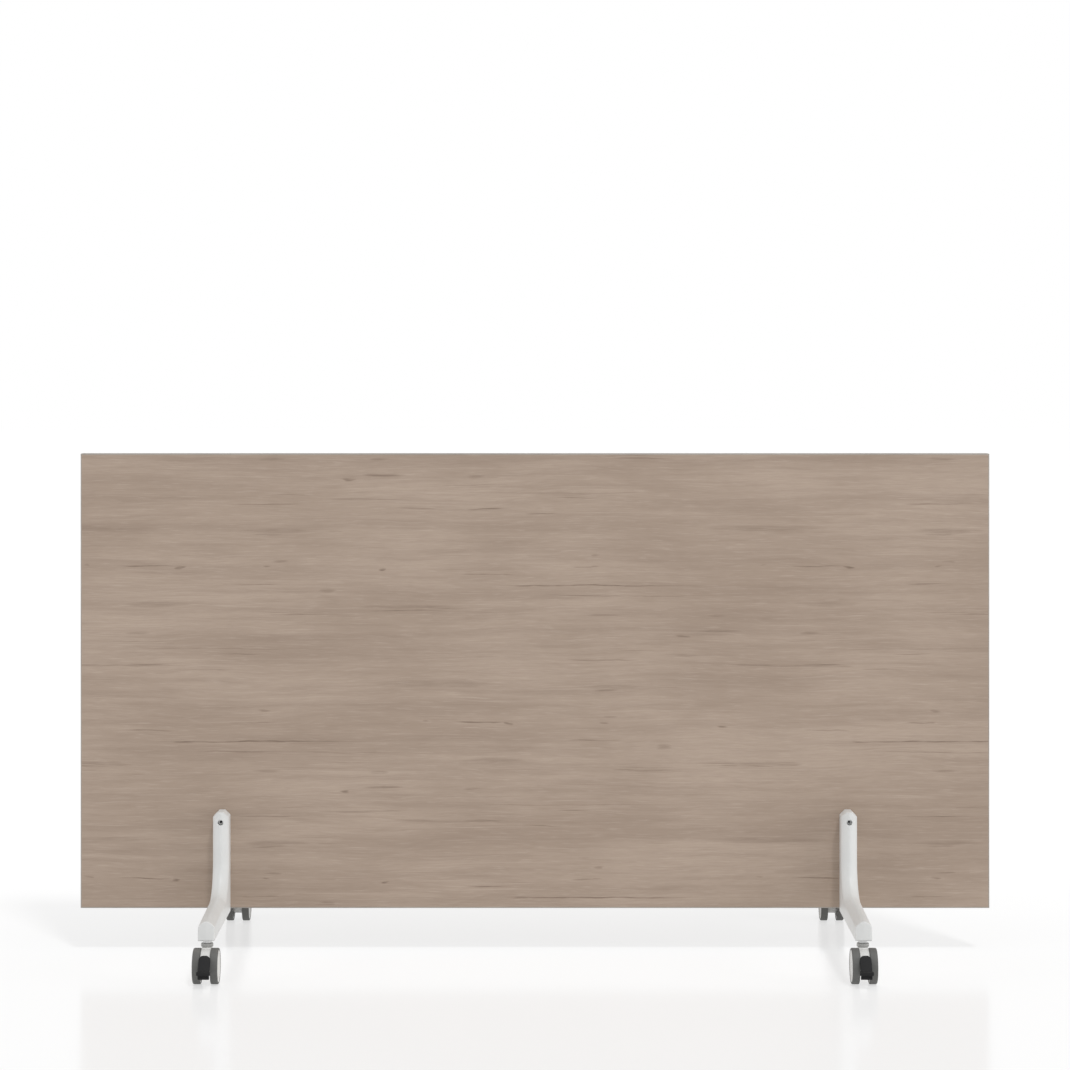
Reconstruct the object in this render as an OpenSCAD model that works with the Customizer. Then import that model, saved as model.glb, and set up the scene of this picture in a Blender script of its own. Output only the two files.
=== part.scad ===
// Mobile room divider: a wood-faced panel carried by two castored feet.
// The origin is on the floor under the middle of the panel, with +X along the panel,
// +Y away from the viewer and +Z up. Lengths are in millimetres, angles in degrees.

/* [Panel] */
// Length of the panel
panel_w = 1600; // [1000:10:2000]
// Height of the panel
panel_h = 800; // [400:10:1200]
// Thickness of the panel
panel_t = 25; // [18:1:40]
// Thickness of the laminate on each face
laminate_t = 0.8; // [0.5:0.1:2]
// Thickness of the edge banding
edge_t = 2; // [1:0.5:4]

/* [Foot arms] */
// Distance from the panel's end to the middle of a foot
foot_inset = 250; // [120:10:400]
// Width of an arm
arm_w = 28; // [26:1:40]
// Height of an arm above its underside
arm_h = 179; // [150:0.5:260]
// Depth of the upright, from the panel to its shoulder line
upright_d = 27.5; // [24:0.5:40]
// Height of the bar's shoulder line where it leaves the elbow
bar_h = 29; // [28:1:40]
// Fall of the bar's top towards its tip, in degrees
bar_fall = 2; // [0:0.5:2.5]
// Reach of an arm from the panel's face
arm_reach = 268.5; // [220:0.5:320]
// Radius of the elbow along its shoulder line
elbow_r = 65; // [50:1:90]
// Height of the crown above the shoulder line
crown_h = 11; // [4:0.5:14]
// Radius of each flank of the crown
flank_r = 24; // [20:1:60]
// Chamfer of the corners at the upright's top
top_chamfer = 9; // [2:0.5:12]
// Radius of the corners at the bar's tip
tip_corner_r = 2; // [1:0.5:8]
// Width of the pocket under the bar
pocket_w = 18; // [8:1:20]
// Depth of the pocket under the bar
pocket_d = 16; // [5:1:18]
// Solid length at each end of the pocket
pocket_wall = 6; // [4:1:12]

/* [Tie plate] */
// Thickness of the plate that carries the panel
plate_t = 5; // [3:0.5:6]
// Width of the plate
plate_w = 20; // [14:1:22]
// Reach of the plate under each arm, from the panel's face
plate_reach = 50; // [40:1:60]
// Distance from the panel's face to the nearer screw
screw_1_reach = 13; // [8:1:16]
// Distance from the panel's face to the farther screw
screw_2_reach = 37; // [28:1:40]
// Diameter of a plate screw's shank
screw_d = 5; // [3:0.5:6]
// Diameter of a plate screw's countersunk head
screw_head_d = 9.6; // [8:0.2:12]
// Length of a plate screw's thread inside the arm
screw_grip = 13; // [8:1:16]
// Width across the flats of a plate screw's hex socket
screw_hex_af = 3; // [2:0.5:4]
// Depth of a plate screw's hex socket
screw_hex_depth = 2; // [1:0.5:2.5]

/* [Panel bolt] */
// Depth of the bolt's axis below the arm's top
bolt_drop = 18; // [12:0.5:40]
// Distance from the panel's face to the seat of a bolt head
bolt_seat_reach = 23.5; // [12:0.5:24]
// Diameter of a bolt head
bolt_head_d = 9; // [9:0.5:12]
// Height of a bolt head
bolt_head_h = 5; // [3:0.5:6]
// Diameter of the bolt's shank
bolt_d = 6; // [4:0.5:6]
// Outer diameter of the sleeve nut's barrel
sleeve_d = 8; // [7.5:0.5:8.5]
// Distance from the panel's front face to the barrel's open end
sleeve_end_inset = 4.5; // [2:0.5:8]
// Length of the bolt's thread inside the barrel
bolt_grip = 26; // [12:1:30]
// Width across the flats of a bolt head's hex socket
bolt_hex_af = 5; // [3:0.5:6]
// Depth of a bolt head's hex socket
bolt_hex_depth = 3; // [1.5:0.5:4]

/* [Castor] */
// Diameter of a wheel over its tyre
wheel_d = 60; // [50:1:75]
// Thickness of a tyre between its hub and its tread
tyre_t = 2.5; // [2.5:0.5:6]
// Width of a tyre
tyre_w = 12.9; // [12:0.1:20]
// Gap between the two tyres
wheel_gap = 17; // [14:0.5:18]
// Radius of a tyre's outer shoulder
tyre_outer_r = 2.3; // [1:0.1:2.4]
// Radius of a tyre's inner shoulder
tyre_inner_r = 1.5; // [1:0.1:2.4]
// Depth of the hub's face inside the tyre's edge
hub_recess = 0.5; // [0.5:0.5:3]
// Thickness of the hub's rim
hub_rim_t = 3.5; // [2:0.5:5]
// Thickness of the hub's disc
hub_disc_t = 4; // [2:0.5:6]
// Diameter of the hub's boss
hub_boss_d = 14; // [10:1:20]
// Diameter of the axle
axle_d = 6; // [4:0.5:8]
// Length of the axle inside each hub
axle_grip = 8.5; // [6:0.5:10]
// Distance that the axle trails behind the stem
trail = 14; // [12:1:20]
// Diameter of the stem inside the arm
stem_d = 11; // [8:0.5:12]
// Length of the stem inside the arm
stem_grip = 23; // [15:1:24]
// Distance from the arm's tip to the stem's axis
stem_setback = 19; // [16:1:30]
// Diameter of the stem's flange
flange_d = 15; // [13:0.5:20]
// Thickness of the stem's flange
flange_t = 5.7; // [3:0.1:8]
// Diameter of the stem's journal in the housing
journal_d = 8; // [6:0.5:9]
// Length of the journal inside the housing
journal_grip = 14; // [10:1:18]
// Diameter of the grey swivel collar
collar_d = 20.6; // [18:0.2:26]
// Height of the grey swivel collar
collar_h = 5.7; // [3:0.1:8]
// Chamfer on the collar's top edge
collar_chamfer = 0.8; // [0.2:0.1:1.5]
// Radius of the housing's nose round the axle
housing_nose_r = 16; // [12:0.5:18]
// Depth of the housing's roof inside the wheels' treads
roof_inset = 1.5; // [1:0.5:3]
// Thickness of the housing's roof
roof_t = 2.5; // [2:0.5:4]
// Thickness of the housing ahead of the pedal's boss
boss_wall = 1.5; // [1:0.5:3]
// Height of the web slot's bottom above the axle
slot_low = 2; // [0:0.5:3]
// Length of the housing behind the stem's axis
housing_back = 10; // [7:1:12]

/* [Brake pedal] */
// Distance of the pedal's pin ahead of the axle
pin_ahead = 12; // [10:0.5:13]
// Height of the pedal's pin above the axle
pin_up = 12; // [10:0.5:13]
// Diameter of the pedal's pin
pin_d = 3; // [2:0.5:4]
// Diameter of the boss round the pin
boss_d = 9; // [7:0.5:10]
// Thickness of the pedal's web
web_t = 5; // [3:0.5:7]
// Height of the web where it meets the tongue
web_end_h = 6; // [4:0.5:7]
// Angle round the axle at which the web meets the tongue
web_angle = 25; // [20:1:26]
// Distance of the lip's front ahead of the axle
pedal_reach = 52; // [48:1:60]
// Width of the tongue
tongue_w = 19; // [12:0.2:21]
// Thickness of the tongue
tongue_t = 6.5; // [4:0.5:8]
// Radius of the tongue's corners at its root
tongue_corner_r = 7.5; // [2:0.5:8]
// Angle round the axle at which the tongue's root stands
root_angle = 39; // [36:1:42]
// Rise of the tongue's root above its heel
root_rise = 2.4; // [1:0.2:4]
// Reach of the tongue's rounded end behind its heel
root_lap = 2; // [0:0.5:4]
// Width of the lip
lip_w = 22.8; // [18:0.2:28]
// Thickness of the lip and of its ledge
lip_t = 5; // [3:0.5:7]
// Height of the lip's top above the axle
lip_top = 0; // [-3:0.5:3]
// Height of the lip from its top to its underside
lip_h = 13.4; // [9:0.2:14]
// Fall of the lip's top towards its front
lip_fall = 0.6; // [0:0.2:2]
// Height of the lip's ledge, below which the lip is as wide as the tongue
ledge_h = 5.8; // [3:0.2:7]
// Distance that the ledge stands out ahead of the lip below it
ledge_out = 4; // [1:0.5:4.5]

/* [Fits] */
// Radial clearance of a pin, screw or shaft in its hole
fit_gap = 0.05; // [0.02:0.01:0.1]
// Side clearance between parts that move past each other
run_gap = 0.5; // [0.3:0.1:0.8]
// Clearance above and below the swivel collar
swivel_gap = 0.3; // [0.2:0.1:0.6]
// Clearance round the tie plate in its rebate
rebate_gap = 0.3; // [0.1:0.1:0.6]
// Radial clearance of a bolt head in its recess
head_gap = 0.5; // [0.2:0.1:1]
// Clearance round the pedal's boss in its slot
boss_gap = 1; // [0.5:0.1:1.5]
// Clearance past the end of a shaft in a blind hole
end_gap = 1; // [0.5:0.1:1.5]
// Clearance between the tyre and the brake pedal when it is up
brake_gap = 2.4; // [2.4:0.1:3]

/* [Hidden] */
$fn = 96;
// A length that runs past every cut
far = 100;
// A length by which a cut runs past the face that it opens
over = 1;
// A length by which joined shapes sink into each other
lap = 0.5;
wheel_r = wheel_d / 2;
housing_top = wheel_d + swivel_gap;
arm_z = housing_top + collar_h + swivel_gap + flange_t;
panel_z = arm_z + plate_t;
core_t = panel_t - 2 * laminate_t;
face_w = panel_w - 2 * edge_t;
face_h = panel_h - 2 * edge_t;
foot_x = panel_w / 2 - foot_inset;
bolt_z = arm_z + arm_h - bolt_drop;
tip_y = panel_t / 2 + arm_reach;
stem_y = tip_y - stem_setback;
elbow_back = norm([elbow_r + upright_d, elbow_r + bar_h]) - elbow_r + over;
sleeve_hole_d = sleeve_d + 2 * fit_gap;
head_hole_d = bolt_head_d + 2 * head_gap;
bolt_seat_y = panel_t / 2 + bolt_seat_reach;
barrel_end_y = panel_t / 2 - sleeve_end_inset;
housing_w = wheel_gap - 2 * run_gap;
housing_r = wheel_r - roof_inset;
hub_r = wheel_r - tyre_t;
hub_w = tyre_w - hub_recess - run_gap;
pin_at = [pin_ahead, pin_up];
heel_r = wheel_r + brake_gap;
root_at = (heel_r + root_rise) * [cos(root_angle), sin(root_angle)];
lip_at = [pedal_reach - lip_t, lip_top];

FEET = [["left", -1], ["right", 1]];
ENDS = [["front", -1], ["rear", 1]];
PANEL_NODES = ["panel_core", "front_laminate", "rear_laminate", "edge_top", "edge_bottom",
    "edge_left", "edge_right"];
CASTOR_PIECES = ["stem", "swivel_collar", "housing", "axle", "pedal_pin", "brake_pedal",
    "outer_tyre", "outer_hub", "inner_tyre", "inner_hub"];
FOOT_PIECES = ["tie_plate", "plate_screws", "panel_bolt", "sleeve_nut"];

// Placing

// A front arm's frame, turned half round for a rear arm
module at_arm(side, end) {
    translate([side * foot_x, 0, 0])
        rotate([0, 0, end > 0 ? 180 : 0])
            children();
}

// A castor's frame: on the floor under its stem, trailing towards -Y
module at_castor(side, end) {
    at_arm(side, end)
        translate([0, -stem_y, 0])
            children();
}

// Draws a shape given as distance ahead of the axle and height above it,
// and extrudes it to both sides of the castor's middle
module side_view(width) {
    translate([0, -trail, wheel_r])
        rotate([90, 0, -90])
            linear_extrude(width, center = true)
                children();
}

// A cylinder along X through a point given in the same side view
module side_bore(at, d, width) {
    side_view(width)
        translate(at)
            circle(d = d);
}

// Panel

module panel_hole() {
    for (side = [-1, 1])
        translate([side * foot_x, 0, bolt_z])
            rotate([90, 0, 0])
                cylinder(d = sleeve_hole_d, h = far, center = true);
}

module panel_core() {
    color("#b59a78")
        difference() {
            translate([-face_w / 2, -core_t / 2, panel_z + edge_t])
                cube([face_w, core_t, face_h]);
            panel_hole();
        }
}

module laminate(end) {
    color("#a8978a")
        difference() {
            translate([-face_w / 2, end > 0 ? core_t / 2 : -panel_t / 2, panel_z + edge_t])
                cube([face_w, laminate_t, face_h]);
            panel_hole();
        }
}

module edge_across(z) {
    color("#9f948a")
        translate([-panel_w / 2, -panel_t / 2, z])
            cube([panel_w, panel_t, edge_t]);
}

module edge_upright(x) {
    color("#9f948a")
        translate([x, -panel_t / 2, panel_z + edge_t])
            cube([edge_t, panel_t, face_h]);
}

// Foot arm

// The crowned cross-section of an arm, from its back up to its ridge
module arm_section(depth) {
    chord = [arm_w / 2, crown_h];
    lean = atan2(crown_h, arm_w / 2);
    drop = sqrt(pow(flank_r, 2) - pow(norm(chord) / 2, 2));
    flank_at = [-arm_w / 4 + drop * sin(lean), crown_h / 2 - drop * cos(lean)];
    translate([-arm_w / 2, 0])
        square([arm_w, depth]);
    translate([0, depth])
        intersection() {
            translate([-arm_w / 2, 0])
                square([arm_w, crown_h + over]);
            translate(flank_at)
                circle(r = flank_r);
            translate([-flank_at[0], flank_at[1]])
                circle(r = flank_r);
        }
}

// The section swept down the upright, round the elbow and along the bar
module arm_sweep() {
    rotate([90, 0, 90])
        translate([-(panel_t / 2 + upright_d + elbow_r), arm_z + bar_h + elbow_r]) {
            rotate([-90, 0, 0])
                linear_extrude(arm_h)
                    elbow_section();
            rotate_extrude(angle = -90)
                elbow_section();
            // The bar leaves the elbow level and is sheared, so that it falls towards its tip
            multmatrix([[1, 0, 0, 0], [tan(bar_fall), 1, 0, 0], [0, 0, 1, 0]])
                rotate([0, 0, -90])
                    rotate([90, 0, 0])
                        linear_extrude(arm_reach)
                            elbow_section();
        }
}

// The section as seen from the elbow's centre, its ridge towards the centre
module elbow_section() {
    translate([elbow_r + elbow_back, 0])
        rotate(90)
            arm_section(elbow_back);
}

// A strip whose far end has round corners
module rounded_end(w, l, r) {
    translate([-w / 2, 0])
        square([w, l - r]);
    translate([r - w / 2, 0])
        square([w - 2 * r, l]);
    for (side = [-1, 1])
        translate([side * (w / 2 - r), l - r])
            circle(r = r);
}

// The arm's outline from the front, with a chamfer at both top corners
module upright_front() {
    polygon([
        [-arm_w / 2, 0],
        [arm_w / 2, 0],
        [arm_w / 2, arm_h - top_chamfer],
        [arm_w / 2 - top_chamfer, arm_h],
        [top_chamfer - arm_w / 2, arm_h],
        [-arm_w / 2, arm_h - top_chamfer]
    ]);
}

module arm_pocket() {
    near_y = panel_t / 2 + plate_reach + pocket_wall;
    away_y = stem_y - stem_d / 2 - pocket_wall;
    translate([0, 0, arm_z - over])
        linear_extrude(pocket_d + over) {
            translate([-pocket_w / 2, -(away_y - pocket_w / 2)])
                square([pocket_w, away_y - near_y - pocket_w]);
            for (y = [near_y + pocket_w / 2, away_y - pocket_w / 2])
                translate([0, -y])
                    circle(d = pocket_w);
        }
}

module bolt_bore() {
    translate([0, 0, bolt_z])
        rotate([90, 0, 0]) {
            cylinder(d = sleeve_hole_d, h = far);
            translate([0, 0, bolt_seat_y])
                cylinder(d = head_hole_d, h = far);
        }
}

module arm() {
    plate_bed_w = plate_w + 2 * rebate_gap;
    plate_bed_l = plate_reach + rebate_gap;
    color("#eeeeec")
        difference() {
            intersection() {
                arm_sweep();
                translate([0, -panel_t / 2, arm_z])
                    mirror([0, 1, 0])
                        linear_extrude(arm_h)
                            rounded_end(arm_w, arm_reach, tip_corner_r);
                translate([0, 0, arm_z])
                    rotate([90, 0, 0])
                        linear_extrude(tip_y + over)
                            upright_front();
            }
            translate([-plate_bed_w / 2, -panel_t / 2 - plate_bed_l, arm_z - over])
                cube([plate_bed_w, plate_bed_l + over, plate_t + over]);
            for (reach = [screw_1_reach, screw_2_reach])
                translate([0, -panel_t / 2 - reach, panel_z - over])
                    cylinder(d = screw_d + 2 * fit_gap, h = screw_grip + over + end_gap);
            translate([0, -stem_y, arm_z - over])
                cylinder(d = stem_d + 2 * fit_gap, h = stem_grip + over + end_gap);
            arm_pocket();
            bolt_bore();
        }
}

// Tie plate, its screws and the panel bolt

module at_plate_screws() {
    for (end = [-1, 1])
        for (reach = [screw_1_reach, screw_2_reach])
            translate([0, end * (panel_t / 2 + reach), 0])
                children();
}

module countersunk(gap) {
    head_h = (screw_head_d - screw_d) / 2;
    translate([0, 0, arm_z])
        cylinder(d1 = screw_head_d + 2 * gap, d2 = screw_d + 2 * gap, h = head_h);
    translate([0, 0, arm_z])
        cylinder(d = screw_d + 2 * gap, h = plate_t + screw_grip);
}

module tie_plate(side) {
    plate_l = panel_t + 2 * plate_reach;
    color("#8d9093")
        difference() {
            translate([side * foot_x - plate_w / 2, -plate_l / 2, arm_z])
                cube([plate_w, plate_l, plate_t]);
            translate([side * foot_x, 0, 0])
                at_plate_screws()
                    countersunk(fit_gap);
        }
}

module plate_screws(side) {
    color("#7b7e82")
        translate([side * foot_x, 0, 0])
            at_plate_screws()
                difference() {
                    countersunk(0);
                    translate([0, 0, arm_z - over])
                        cylinder(d = screw_hex_af / cos(30), h = screw_hex_depth + over, $fn = 6);
                }
}

// A bolt head standing on its seat, its hex socket facing up
module bolt_head() {
    difference() {
        cylinder(d = bolt_head_d, h = bolt_head_h);
        translate([0, 0, bolt_head_h - bolt_hex_depth])
            cylinder(d = bolt_hex_af / cos(30), h = bolt_hex_depth + over, $fn = 6);
    }
}

// The frame of a head's seat in the front arm, turned half round for the rear arm
module at_bolt_seat(side, end) {
    translate([side * foot_x, end * bolt_seat_y, bolt_z])
        rotate([end < 0 ? 90 : -90, 0, 0])
            children();
}

module panel_bolt(side) {
    shank = bolt_seat_y - barrel_end_y + bolt_grip;
    color("#8c8f92")
        at_bolt_seat(side, -1) {
            bolt_head();
            translate([0, 0, -shank])
                cylinder(d = bolt_d, h = shank + lap);
        }
}

module sleeve_nut(side) {
    barrel = bolt_seat_y + barrel_end_y;
    color("#8c8f92")
        at_bolt_seat(side, 1)
            difference() {
                union() {
                    bolt_head();
                    translate([0, 0, -barrel])
                        cylinder(d = sleeve_d, h = barrel + lap);
                }
                translate([0, 0, -barrel - over])
                    cylinder(d = bolt_d + 2 * fit_gap, h = bolt_grip + over + end_gap);
            }
}

// Castor

module stem() {
    color("#b9bcbe") {
        translate([0, 0, arm_z - lap])
            cylinder(d = stem_d, h = stem_grip + lap);
        translate([0, 0, arm_z - flange_t])
            cylinder(d = flange_d, h = flange_t);
        translate([0, 0, housing_top - journal_grip])
            cylinder(d = journal_d, h = arm_z - flange_t - housing_top + journal_grip + lap);
    }
}

module swivel_collar() {
    color("#999997")
        difference() {
            union() {
                translate([0, 0, housing_top])
                    cylinder(d = collar_d, h = collar_h - collar_chamfer);
                translate([0, 0, housing_top + collar_h - collar_chamfer])
                    cylinder(d1 = collar_d, d2 = collar_d - 2 * collar_chamfer,
                        h = collar_chamfer);
            }
            translate([0, 0, housing_top - over])
                cylinder(d = journal_d + 2 * fit_gap, h = collar_h + 2 * over);
        }
}

// The housing's outline: a roof above the pedal's web, a stem block and a nose
module housing_outline() {
    intersection() {
        circle(r = housing_r);
        polygon([[0, 0], [far, far], [-far, far], [-far, 0]]);
    }
    translate([-trail - housing_back, 0])
        square([trail + housing_back, wheel_r + swivel_gap]);
    circle(r = housing_nose_r);
    translate(pin_at)
        circle(d = boss_d + 2 * boss_wall);
}

// The slot that the pedal's web swings in
module web_slot() {
    slot_back = pin_ahead - boss_d / 2 - boss_gap;
    intersection() {
        circle(r = housing_r - roof_t);
        translate([slot_back, slot_low])
            square([far, far]);
    }
    translate([slot_back, slot_low])
        square([far, pin_up + boss_d / 2 + boss_gap - slot_low]);
}

module housing() {
    color("#ededeb")
        difference() {
            side_view(housing_w)
                housing_outline();
            side_view(web_t + 2 * run_gap)
                web_slot();
            side_bore([0, 0], axle_d + 2 * fit_gap, far);
            side_bore(pin_at, pin_d + 2 * fit_gap, far);
            translate([0, 0, housing_top - journal_grip - end_gap])
                cylinder(d = journal_d + 2 * fit_gap, h = far);
        }
}

module axle() {
    color("#b9bcbe")
        side_bore([0, 0], axle_d, wheel_gap + 2 * (run_gap + axle_grip));
}

module pedal_pin() {
    color("#b9bcbe")
        side_bore(pin_at, pin_d, housing_w);
}

// Outline of the tongue and lip, seen from the side
module tongue_outline() {
    fall = lip_at - root_at;
    under = tongue_t * [fall[1], -fall[0]] / norm(fall);
    difference() {
        polygon([
            root_at,
            lip_at,
            [pedal_reach, lip_top - lip_fall],
            [pedal_reach, lip_top - ledge_h],
            [pedal_reach - ledge_out, lip_top - ledge_h],
            [pedal_reach - ledge_out, lip_top - lip_h],
            [pedal_reach - ledge_out - lip_t, lip_top - lip_h],
            [pedal_reach - ledge_out - lip_t, (lip_at + under)[1]],
            lip_at + under - fall,
            [0, 0]
        ]);
        circle(r = heel_r);
    }
}

// Outline of the tongue, seen from above
module tongue_plan() {
    root_x = heel_r * cos(root_angle) - root_lap;
    translate([pedal_reach, 0])
        rotate(90)
            rounded_end(tongue_w, pedal_reach - root_x, tongue_corner_r);
}

module brake_pedal() {
    color("#2b2b2c")
        difference() {
            union() {
                intersection() {
                    side_view(lip_w)
                        tongue_outline();
                    translate([0, -trail, 0])
                        rotate([0, 0, -90]) {
                            linear_extrude(wheel_d)
                                tongue_plan();
                            translate([pedal_reach - lip_t, -lip_w / 2, wheel_r + lip_top - ledge_h])
                                cube([lip_t, lip_w, ledge_h]);
                        }
                }
                side_view(web_t)
                    hull() {
                        translate(pin_at)
                            circle(d = boss_d);
                        translate(heel_r * [cos(web_angle), sin(web_angle)])
                            circle(d = web_end_h);
                    }
            }
            side_bore(pin_at, pin_d + 2 * fit_gap, far);
        }
}

// A wheel's frame: its axis along Z, its inner edge at zero, its face outwards
module at_wheel(direction) {
    translate([direction * wheel_gap / 2, -trail, wheel_r])
        rotate([0, direction * 90, 0])
            children();
}

module tyre(direction) {
    color("#6a6a67")
        at_wheel(direction)
            rotate_extrude()
                intersection() {
                    translate([hub_r + fit_gap, 0])
                        square([tyre_t, tyre_w]);
                    union() {
                        translate([hub_r - far, tyre_inner_r])
                            square([tyre_t + far, tyre_w - tyre_inner_r - tyre_outer_r]);
                        translate([hub_r - far, 0])
                            square([tyre_t + far - tyre_outer_r, tyre_w]);
                        translate([wheel_r - tyre_inner_r, tyre_inner_r])
                            circle(r = tyre_inner_r);
                        translate([hub_r, 0])
                            square([tyre_t - tyre_inner_r, tyre_inner_r]);
                        translate([wheel_r - tyre_outer_r, tyre_w - tyre_outer_r])
                            circle(r = tyre_outer_r);
                    }
                }
}

module hub(direction) {
    face = tyre_w - hub_recess;
    color("#e6e6e3")
        at_wheel(direction)
            difference() {
                translate([0, 0, run_gap])
                    cylinder(r = hub_r, h = hub_w);
                difference() {
                    cylinder(r = hub_r - hub_rim_t, h = face - hub_disc_t);
                    cylinder(d = hub_boss_d, h = face);
                }
                translate([0, 0, -over])
                    cylinder(d = axle_d + 2 * fit_gap, h = run_gap + axle_grip + over + end_gap);
            }
}

module castor_piece(piece, direction) {
    if (piece == "stem") stem();
    if (piece == "swivel_collar") swivel_collar();
    if (piece == "housing") housing();
    if (piece == "axle") axle();
    if (piece == "pedal_pin") pedal_pin();
    if (piece == "brake_pedal") brake_pedal();
    if (piece == "outer_tyre") tyre(direction);
    if (piece == "outer_hub") hub(direction);
    if (piece == "inner_tyre") tyre(-direction);
    if (piece == "inner_hub") hub(-direction);
}

panel_core();
laminate(-1);  // front_laminate
laminate(1);  // rear_laminate
edge_across(panel_z + panel_h - edge_t);  // edge_top
edge_across(panel_z);  // edge_bottom
edge_upright(-panel_w / 2);  // edge_left
edge_upright(panel_w / 2 - edge_t);  // edge_right

for (foot = FEET) {
    name = foot[0];
    side = foot[1];
    tie_plate(side);
    plate_screws(side);
    panel_bolt(side);
    sleeve_nut(side);
}

for (foot = FEET)
    for (end = ENDS) {
        name = str(end[0], "_", foot[0]);
        at_arm(foot[1], end[1]) arm();
        for (piece = CASTOR_PIECES)
            at_castor(foot[1], end[1])
                    castor_piece(piece, -foot[1] * end[1]);
    }
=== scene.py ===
import itertools
import math

import bmesh
import bpy
from mathutils import Matrix, Vector


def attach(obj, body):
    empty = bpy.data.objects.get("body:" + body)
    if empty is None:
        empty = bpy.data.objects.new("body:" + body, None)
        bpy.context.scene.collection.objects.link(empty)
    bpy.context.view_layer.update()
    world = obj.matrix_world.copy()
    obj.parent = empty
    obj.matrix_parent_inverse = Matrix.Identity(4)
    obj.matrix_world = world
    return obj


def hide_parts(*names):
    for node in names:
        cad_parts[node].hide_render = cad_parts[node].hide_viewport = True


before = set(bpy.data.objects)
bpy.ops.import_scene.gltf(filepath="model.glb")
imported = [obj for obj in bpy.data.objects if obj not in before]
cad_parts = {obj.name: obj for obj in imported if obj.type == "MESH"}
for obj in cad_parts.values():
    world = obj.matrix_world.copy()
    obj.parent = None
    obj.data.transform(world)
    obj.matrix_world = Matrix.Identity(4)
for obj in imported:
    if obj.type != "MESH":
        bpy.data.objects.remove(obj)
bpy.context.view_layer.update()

# Sizes in millimetres, in the frame of the part's source

MM = 0.001
PANEL_W = 1600.0
PANEL_H = 800.0
PANEL_T = 25.0
PANEL_Z = 77.0
EDGE_T = 2.0
FOOT_X = 550.0
ARM_Z = 72.0
ARM_H = 179.0
ARM_HALF_W = 14.0
SHOULDER_Y = 40.0
BAR_Z = 101.0
BAR_SLOPE = math.tan(math.radians(2.0))
ELBOW_R = 65.0
ELBOW_Y = -(SHOULDER_Y + ELBOW_R)
ELBOW_Z = BAR_Z + ELBOW_R
TIP_Y = 281.0
CROWN_H = 11.0
FLANK_R = 24.0
TOP_CHAMFER = 9.0
BOLT_Z = 233.0
BOLT_SEAT_Y = 36.0
BOLT_HEAD_H = 5.0
RECESS_R = 5.0
SCREW_REACHES = (25.5, 49.5)
STEM_Y = 262.0
TRAIL = 14.0
JOURNAL_HOLE_R = 4.05
WHEEL_R = 30.0
WHEEL_GAP = 17.0
TYRE_W = 12.9
HUB_R = 27.5
AXLE_HOLE_R = 3.05
HEEL_R = 32.4
PIN_OFFSET = 12.0
PIN_HOLE_R = 1.55

# Roundings
ARRIS = 0.8
TIP_CORNER_R = 2.0
TIP_ARRIS = 2.0
RIDGE_SOFT = 1.6
PROW = 1.5
PROW_SOFT = 1.5
BEVEL_STEPS = 3

FEET = (("left", -1), ("right", 1))
ENDS = (("front", -1), ("rear", 1))


# Shader nodes


def new_group(name, inputs, outputs, kind="ShaderNodeTree"):
    """A node group with named sockets: its tree, its graph, what it is given and what it gives."""
    tree = bpy.data.node_groups.new(name, kind)
    for label, socket_kind, value in inputs:
        socket = tree.interface.new_socket(
            label, in_out="INPUT", socket_type="NodeSocket" + socket_kind)
        if value is not None:
            socket.default_value = value
    for label, socket_kind in outputs:
        tree.interface.new_socket(label, in_out="OUTPUT", socket_type="NodeSocket" + socket_kind)
    given = tree.nodes.new("NodeGroupInput").outputs
    return tree, Graph(tree), given, tree.nodes.new("NodeGroupOutput").inputs


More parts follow.
